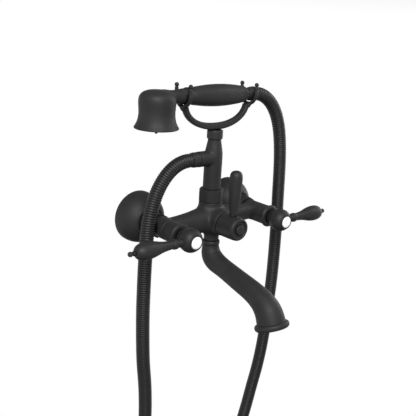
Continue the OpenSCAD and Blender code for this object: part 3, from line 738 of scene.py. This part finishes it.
# ------------------------------------------------------------------- spout
SPOUT_LINE = [[60.5, -33.6, 10.4], [60.6, -37, 11], [61, -41, 11.8], [62.2, -45.4, 12.5], [65, -49.6, 13.1], [69.6, -53, 13.3], [75.5, -55.4, 13.1],
              [82, -56.9, 12.7], [90, -58.6, 12.5], [99, -60.6, 12.6], [108, -62.6, 12.8], [117, -64.6, 13], [126, -66.5, 13.2], [135, -68.4, 13.4], [143.5, -70.6, 13.7],
              [151, -73.1, 14.2], [157.8, -76, 14.9], [163.6, -79.4, 15.7], [168.2, -83.2, 16.4], [171.8, -87.6, 16.9], [174.6, -92.4, 17.3], [175.9, -95.6, 17.5]]


def build_spout():
    L = uniform_cr(SPOUT_LINE, 6)
    rows = []
    for i, (d, z, r) in enumerate(L):
        a, b = L[max(0, i - 1)], L[min(len(L) - 1, i + 1)]
        t = np.array([b[0] - a[0], b[1] - a[1]])
        t /= np.linalg.norm(t)
        rows.append([d, z, r, t[0], t[1]])
    end = np.array([0.39, -0.9208])
    # ease the last tangents to the outlet's own axis
    for k in range(14):
        w = (k + 1) / 14
        row = rows[len(rows) - 14 + k]
        t = np.array(row[3:]) * (1 - w) + end * w
        t /= np.linalg.norm(t)
        row[3], row[4] = t
    c0 = np.array(L[-1][:2])
    rim = runs([[17.5, 0], [17.6, 0.9], [17.75, 1.5]], [[17.75, 1.5], [18.9, 1.7], [20.2, 2.4], [21.05, 3.7], [21.3, 5.2], [21.1, 6.7], [20.3, 8.1], [19.1, 9.1], [17.9, 9.5]],
               [[17.9, 9.5], [16.6, 9.4], [15.9, 8.9]], f=0.25, n=3)
    outer = [[c0[0] + end[0] * h, c0[1] + end[1] * h, r, end[0], end[1]] for r, h in rim[1:]]
    inner = []
    for d, z, r, tx, tz in reversed(rows[:]):
        inner.append([d, z, min(r - 2.4, 15.2), tx, tz])
    rows = rows + outer + inner
    seg = 96
    verts, faces = [], []
    for d, z, r, tx, tz in rows:
        n = (tz, -tx)
        for k in range(seg):
            a = k * 2 * math.pi / seg
            verts.append((r * math.sin(a), -(d + n[0] * r * math.cos(a)), z + n[1] * r * math.cos(a)))
    m = len(rows)
    for i in range(m):
        A, B = i * seg, ((i + 1) % m) * seg
        for k in range(seg):
            k2 = (k + 1) % seg
            faces.append((A + k, A + k2, B + k2, B + k))
    return make("spout_casting", verts, outward(verts, faces), "black", "spout", replaces=("spout",), sharp=50)


build_spout()
sr = runs([[7.75, -33.5], [9.9, -33.5]], bead(9.9, 1.5, -33.45, -27.35, 15), [[9.9, -27.3], [7.75, -27.3]], [[7.75, -27.3], [7.75, -33.5]], f=0.2, n=3)
lathe("spout_bead", sr, (0, -SPY, 0), (0, 0, 1), "black_fine", "spout", replaces=("spout_ring",), seg=96)

# ------------------------------------------------------------------- riser
v, f = hex_mesh(28.6, 23.5, 39.4, 11.5, (0, -COL, 0), (0, 0, 1), turn=4.0, corner=15.7)
make("riser_hexagon", v, f, "black_fine", "mixer", replaces=("riser_nut",), sharp=22)


def build_riser():
    post = runs([[0, 30], [11.3, 30]], [[11.3, 30], [11.3, 60], [11.3, 80], [11.1, 85], [10.5, 89.5], [9.6, 94.3], [8.8, 98.5], [8.35, 101.2], [8.2, 103.1]], [[8.2, 103.1], [0, 103.1]], f=0.5)
    boss = runs([[0, 0], [9.6, 0]], [[9.6, 0], [9.6, 25.9]], [[9.6, 25.9], [0, 25.9]], f=0.6)
    A, B = Turned(post, (0, -COL, 0), (0, 0, 1)), Turned(boss, (0, -COL, TEE), (-1, 0, 0))

    def field(P):
        return smin(A.sd(P), B.sd(P), 2.6)
    return cast("riser_casting", field, [A, B], 0.55, "black", "mixer", replaces=("riser_tee",))


build_riser()
co = runs([[3.1, 103.3], [9.5, 103.3]], [[9.5, 103.3], [9.95, 103.9]], [[9.95, 103.9], [9.95, 112.8]], [[9.95, 112.8], [9.7, 113.5], [9.0, 114.2], [8.4, 114.4]], [[8.4, 114.4], [3.1, 114.4]], [[3.1, 114.4], [3.1, 103.3]], f=0.25)
lathe("cradle_socket", co, (0, -COL, 0), (0, 0, 1), "black_fine", "mixer", replaces=("cradle_collar",), seg=96)


# ------------------------------------------------------------------ cradle
def tube_mesh(path, radii, seg=20, up=(0, 1, 0), section=None):
    """A closed tube along 3-D points; section(k) gives (a, b) multipliers of the two half widths."""
    P = np.array(path, float)
    T = np.gradient(P, axis=0)
    T /= np.linalg.norm(T, axis=1)[:, None]
    verts, faces = [], []
    upv = np.array(up, float)
    for i, p in enumerate(P):
        u = upv - T[i] * upv.dot(T[i])
        u /= np.linalg.norm(u)
        w = np.cross(T[i], u)
        ra, rb = radii[i]
        for k in range(seg):
            a = k * 2 * math.pi / seg
            ca, sa = section(a) if section else (math.cos(a), math.sin(a))
            verts.append(p + u * ra * ca + w * rb * sa)
    n = len(P)
    for i in range(n - 1):
        for k in range(seg):
            k2 = (k + 1) % seg
            faces.append((i * seg + k, i * seg + k2, (i + 1) * seg + k2, (i + 1) * seg + k))
    faces.append(tuple(reversed(range(seg))))
    faces.append(tuple((n - 1) * seg + k for k in range(seg)))
    return verts, outward(verts, faces)


def squircle(p):
    def s(a):
        c, d = math.cos(a), math.sin(a)
        return (math.copysign(abs(c) ** (2 / p), c), math.copysign(abs(d) ** (2 / p), d))
    return s


FORK_X, SEAT_Z = 53.0, SHZ + 1.1


def u_pt(a, w, h, p=2.15):
    c, s = math.cos(a), math.sin(a)
    return np.array([w * math.copysign(abs(c) ** (2 / p), c), 148 - h * abs(s) ** (2 / p)])


def build_cradle():
    parts = []
    # the bowed bar, deeper at the middle and flat-sided, ending in the forks' roots
    ang = np.radians(np.linspace(7, 173, 121))
    mid = [0.5 * (u_pt(a, 53.0, 33.6) + u_pt(a, 46.6, 25.2)) for a in ang]
    path = [(p[0], -COL, p[1]) for p in mid]
    radii = [(4.5, 3.1 + 1.1 * math.sin(a) ** 4) for a in ang]
    parts.append(tube_mesh(path, radii, seg=32, up=(0, 1, 0), section=squircle(3.6)))
    for s in (-1, 1):
        arc = [(s * FORK_X, -COL + 13 * math.cos(t), SEAT_Z - 13 * math.sin(t)) for t in np.linspace(0, math.pi, 61)]
        arm = [(s * FORK_X, -COL + 13, SEAT_Z + z) for z in np.linspace(8.2, 0.4, 9)]
        arm2 = [(s * FORK_X, -COL - 13, SEAT_Z + z) for z in np.linspace(0.4, 8.2, 9)]
        line = arm + arc + arm2
        rr = [(2.3, 2.3)] * len(line)
        parts.append(tube_mesh(line, rr, seg=28, up=(1, 0, 0)))
        # a flared root where the bar runs into the fork
        parts.append(tube_mesh([(s * 50.2, -COL, 140.5), (s * 51.6, -COL, 143.0), (s * 52.6, -COL, 145.2)], [(4.6, 3.1), (5.8, 3.0), (6.8, 2.5)], seg=28, up=(0, 1, 0), section=squircle(2.6)))
        for t in (-1, 1):
            c = (s * FORK_X, -COL + t * 13, SEAT_Z)
            neck = runs([[0, 7.4], [2.3, 7.4]], [[2.3, 7.4], [2.3, 8.2], [1.75, 8.9], [1.6, 9.3], [1.9, 9.6]], [[1.9, 9.6]] + [[2.75 * math.cos(q), 11.2 + 2.75 * math.sin(q)] for q in np.linspace(math.radians(-34), math.radians(87), 12)] + [[0, 13.95]], f=0.1, n=2)
            m = lathe_mesh(neck, c, (0, 0, 1), 32)
            parts.append((m[0], outward(*m)))
    post = runs([[0, 110.4], [3.0, 110.4]], [[3.0, 110.4], [3.0, 117]], [[3.0, 117], [0, 117]], f=0.2)
    m = lathe_mesh(post, (0, -COL, 0), (0, 0, 1), 32)
    parts.append((m[0], outward(*m)))
    return parts


def remesh_piece(name, parts, voxel, mat, body, replaces, smooth=6, weight=0.5):
    """One skin over the joined parts, with the junctions eased by smoothing."""
    v, f = join_meshes(parts)
    me = bpy.data.meshes.new(name + "_raw")
    me.from_pydata([tuple(float(c) * MM for c in p) for p in v], [], f)
    o = bpy.data.objects.new(name + "_raw", me)
    scene.collection.objects.link(o)
    mod = o.modifiers.new("remesh", "REMESH")
    mod.mode = "VOXEL"
    mod.voxel_size = voxel * MM * 1.0
    dg = bpy.context.evaluated_depsgraph_get()
    ev = bpy.data.meshes.new_from_object(o.evaluated_get(dg), depsgraph=dg)
    bpy.data.objects.remove(o)
    n = len(ev.vertices)
    co = np.zeros(n * 3)
    ev.vertices.foreach_get("co", co)
    P = co.reshape(-1, 3) / MM
    edges = np.zeros(len(ev.edges) * 2, int)
    ev.edges.foreach_get("vertices", edges)
    E = edges.reshape(-1, 2)
    deg = np.zeros(n)
    np.add.at(deg, E[:, 0], 1)
    np.add.at(deg, E[:, 1], 1)
    for i in range(smooth):
        # Taubin pairs keep the thickness
        for w in (weight, -weight * 0.96):
            acc = np.zeros_like(P)
            np.add.at(acc, E[:, 0], P[E[:, 1]])
            np.add.at(acc, E[:, 1], P[E[:, 0]])
            P = P + w * (acc / np.maximum(deg, 1)[:, None] - P)
    faces = [tuple(p.vertices) for p in ev.polygons]
    bpy.data.meshes.remove(ev)
    return make(name, [tuple(p) for p in P], faces, mat, body, replaces=replaces, sharp=None)


remesh_piece("cradle_casting", build_cradle(), 0.42, "black", "mixer", ("cradle_yoke",), smooth=9)


# ------------------------------------------------------------- hand shower
AX = (1, 0, 0)
HO = (0, -COL, SHZ)


def build_bell():
    neck = runs([[0, -80], [7.9, -80]], [[7.9, -80], [7.9, -74], [7.8, -68], [8.0, -64], [8.5, -60], [9.1, -56], [9.4, -52.5], [9.5, -50.1]], [[9.5, -50.1], [0, -50.1]], f=0.25)
    nk = Turned(neck, HO, AX)
    # a sunk mouth, which the rose plate closes
    m = runs([[0, 127.2], [22.4, 127.2]], [[22.4, 127.2], [23.55, 123.4]], [[23.55, 123.4], [23.6, 121.9]], [[23.6, 121.9], [24.1, 121.3], [25.1, 121.3]], [[25.1, 121.3], [25.85, 121.8], [26.0, 122.6]],
             [[26.0, 122.6], [25.3, 123.8], [24.0, 126], [22.4, 129.6], [21.4, 134], [20.95, 139], [21.15, 144], [21.5, 149], [21.55, 152.6], [21.0, 156.4], [19.4, 159.6], [16.6, 162.2], [12.6, 164], [7.4, 165], [0, 165.3]], f=0.25)
    solid = Turned(m, (-BELLX, -COL, 0), (0, 0, 1))

    def field(P):
        return smin(solid.sd(P), nk.sd(P), 3.2)
    return cast("bell_and_neck", field, [solid, nk], 0.55, "black", "handset", replaces=("handset_bell", "handset_neck"))


build_bell()


def build_rose():
    """Rose plate with its rings of jet holes, each a small nozzle collar round a sunk hole."""
    parts = []
    plate = runs([[0, 121.8], [23.0, 121.8]], [[23.0, 121.8], [23.45, 122.2]], [[23.45, 122.2], [23.45, 123.1]], [[23.45, 123.1], [0, 123.1]], f=0.2)
    v, f = lathe_mesh(plate, (-BELLX, -COL, 0), (0, 0, 1), 120)
    parts.append((v, outward(v, f)))
    for r, n in ((7.4, 9), (11.7, 15), (16.0, 21), (20.0, 27)):
        for i in range(n):
            a = i * 2 * math.pi / n
            c = (-BELLX + r * math.cos(a), -COL + r * math.sin(a), 0)
            jet = [[0.42, 122.1], [0.42, 121.05], [0.75, 121.0], [0.95, 121.2], [1.15, 121.85], [1.15, 122.1]]
            v, f = lathe_mesh(jet, c, (0, 0, 1), 14)
            parts.append((v, outward(v, f)))
    v, f = join_meshes(parts)
    return make("rose_face", v, f, "black_fine", "handset", replaces=("rose_plate",), sharp=40)


build_rose()
nub = runs([[0, 115.3], [0.7, 115.35], [1.25, 115.8], [1.55, 116.7], [1.7, 118.1]], [[1.7, 118.1], [2.4, 118.9], [3.4, 119.6], [3.8, 120.3]], [[3.8, 120.3], [3.8, 121.75]], [[3.8, 121.75], [0, 121.75]], f=0.15)
lathe("rose_nub", nub, (-BELLX, -COL, 0), (0, 0, 1), "black_fine", "handset", replaces=("rose_screw",), seg=48)
hr = runs([[9.0, -50.05], [9.7, -50.05]], bead(9.7, 0.85, -50.0, -44.4, 15), [[9.7, -44.35], [9.0, -44.35]], [[9.0, -44.35], [9.0, -50.05]], f=0.1, n=3)
lathe("grip_ring", hr, HO, AX, "black_fine", "handset", replaces=("handset_ring",), seg=96)


def grip_r(x):
    return 9.2 + (13.4 - 9.2) * abs(math.cos(math.radians(90 * min(1.0, abs(x) / 46.58)))) ** 0.85


gp = runs([[6.5, -44.35], [8.9, -44.35]], [[8.9, -44.35], [9.4, -43.9], [9.7, -43.2]], [[9.7, -43.2], [9.7, -42.6]], [[9.45, -42.4], [9.45, -42.0]],
          [[9.7, -41.8]] + [[grip_r(x), x] for x in np.linspace(-40.5, 42.5, 22)] , [[grip_r(42.5), 42.5], [9.0, 44.0], [8.5, 45.3], [7.6, 46.2], [6.5, 46.5]], [[6.5, 46.5], [6.5, -44.35]], f=0.2)
lathe("grip_barrel", gp, HO, AX, "black", "handset", replaces=("handset_grip",), seg=112)
en = runs([[4.4, 46.5], [7.1, 46.5]], [[7.1, 46.5], [7.0, 47.5], [6.6, 48.3]], [[6.6, 48.3], [6.5, 49.0]], [[6.5, 49.0], [6.5, 57]], [[6.5, 57], [4.4, 57]], [[4.4, 57], [4.4, 46.5]], f=0.2)
lathe("grip_end", en, HO, AX, "black_fine", "handset", replaces=("handset_end",), seg=96)
nu = runs([[4.4, 48.6], [7.2, 48.6]], [[7.2, 48.6], [7.6, 49.4], [8.1, 51.6], [8.6, 54], [9.0, 56.6], [9.2, 59.4]], [[9.2, 59.4], [9.2, 60.9]], [[9.2, 60.9], [8.7, 62.0]], [[8.7, 62.0], [4.4, 62.0]], [[4.4, 62.0], [4.4, 48.6]], f=0.25)
lathe("hose_cone_upper", nu, HO, AX, "black_fine", "handset", replaces=("hose_nut_upper",), seg=96)
nl = runs([[4.6, -36], [8.4, -36]], [[8.4, -36], [8.9, -35.4]], [[8.9, -35.4], [9.3, -33.2], [9.3, -30], [9.3, -27]], [[9.3, -27], [9.0, -26.1]], [[9.0, -26.1], [7.6, -26.1]], [[7.6, -26.1], [4.6, -30]], [[4.6, -30], [4.6, -36]], f=0.25)
lathe("hose_cone_lower", nl, (0, -COL, TEE), AX, "black_fine", "mixer", replaces=("hose_nut_lower",), seg=96)

# ------------------------------------------- the CAD pieces that stay shown
KEEP = {
    "brass": ["diverter_cartridge", "spout_tail", "handset_tube"],
    "brass_black": ["valve_cartridge_left", "valve_cartridge_right", "spindle_left", "spindle_right", "diverter_spindle"],
    "rubber": ["union_washers", "spout_orings", "riser_oring", "hose_washer_lower", "hose_washer_upper"],
    "enamel": ["ceramic_discs"],
    "plastic": ["check_valve"],
    "steel": ["hub_screw_left", "hub_screw_right"],
    "black_fine": ["outlet_insert"],
}
for mat, names in KEEP.items():
    for n in names:
        ob = NODES[n]
        ob.data.materials.clear()
        ob.data.materials.append(MAT[mat])

# ----------------------------------------------------------------- staging
world = bpy.data.worlds.new("studio")
scene.world = world
world.use_nodes = True
wnt = world.node_tree
wnt.nodes.clear()
wo = wnt.nodes.new("ShaderNodeOutputWorld")
bg = wnt.nodes.new("ShaderNodeBackground")
wtc = wnt.nodes.new("ShaderNodeTexCoord")
wsep = wnt.nodes.new("ShaderNodeSeparateXYZ")
wnt.links.new(wtc.outputs["Generated"], wsep.inputs[0])
# white studio walls; the ceiling and the ground straight below are dimmer, so tops and undersides fall off
wnt.links.new(ramp(wnt, maprange(wnt, wsep.outputs["Z"], -1.0, 1.0, 0.0, 1.0), [(0.0, (0.12, 0.12, 0.12)), (0.13, (0.17, 0.17, 0.17)), (0.195, (1.0, 1.0, 1.0)), (0.51, (1.0, 1.0, 1.0)), (0.6, (0.48, 0.48, 0.48)), (0.72, (0.28, 0.28, 0.28)), (1.0, (0.24, 0.24, 0.24))]), bg.inputs["Color"])
# the room in front of the wall is dimmer than the wall
wnt.links.new(maprange(wnt, wsep.outputs["Y"], -0.6, 0.2, 0.5, 1.0), bg.inputs["Strength"])
wnt.links.new(bg.outputs[0], wo.inputs[0])


def area(name, loc, target, size, power, color=(1, 1, 1)):
    d = bpy.data.lights.new(name, "AREA")
    d.shape = "RECTANGLE"
    d.size, d.size_y = size
    d.energy = power
    d.color = color
    o = bpy.data.objects.new(name, d)
    o.location = loc
    o.rotation_euler = (Vector(target) - Vector(loc)).to_track_quat("-Z", "Y").to_euler()
    scene.collection.objects.link(o)
    return o


area("key", (-1.0, -1.45, 1.35), (0, -0.06, 0.0), (1.5, 1.5), 78)
area("right", (1.3, -0.75, 1.25), (0, -0.06, 0.0), (0.9, 0.9), 9)
area("side", (1.9, -0.1, 0.35), (0, -0.06, 0.0), (1.0, 1.0), 13)
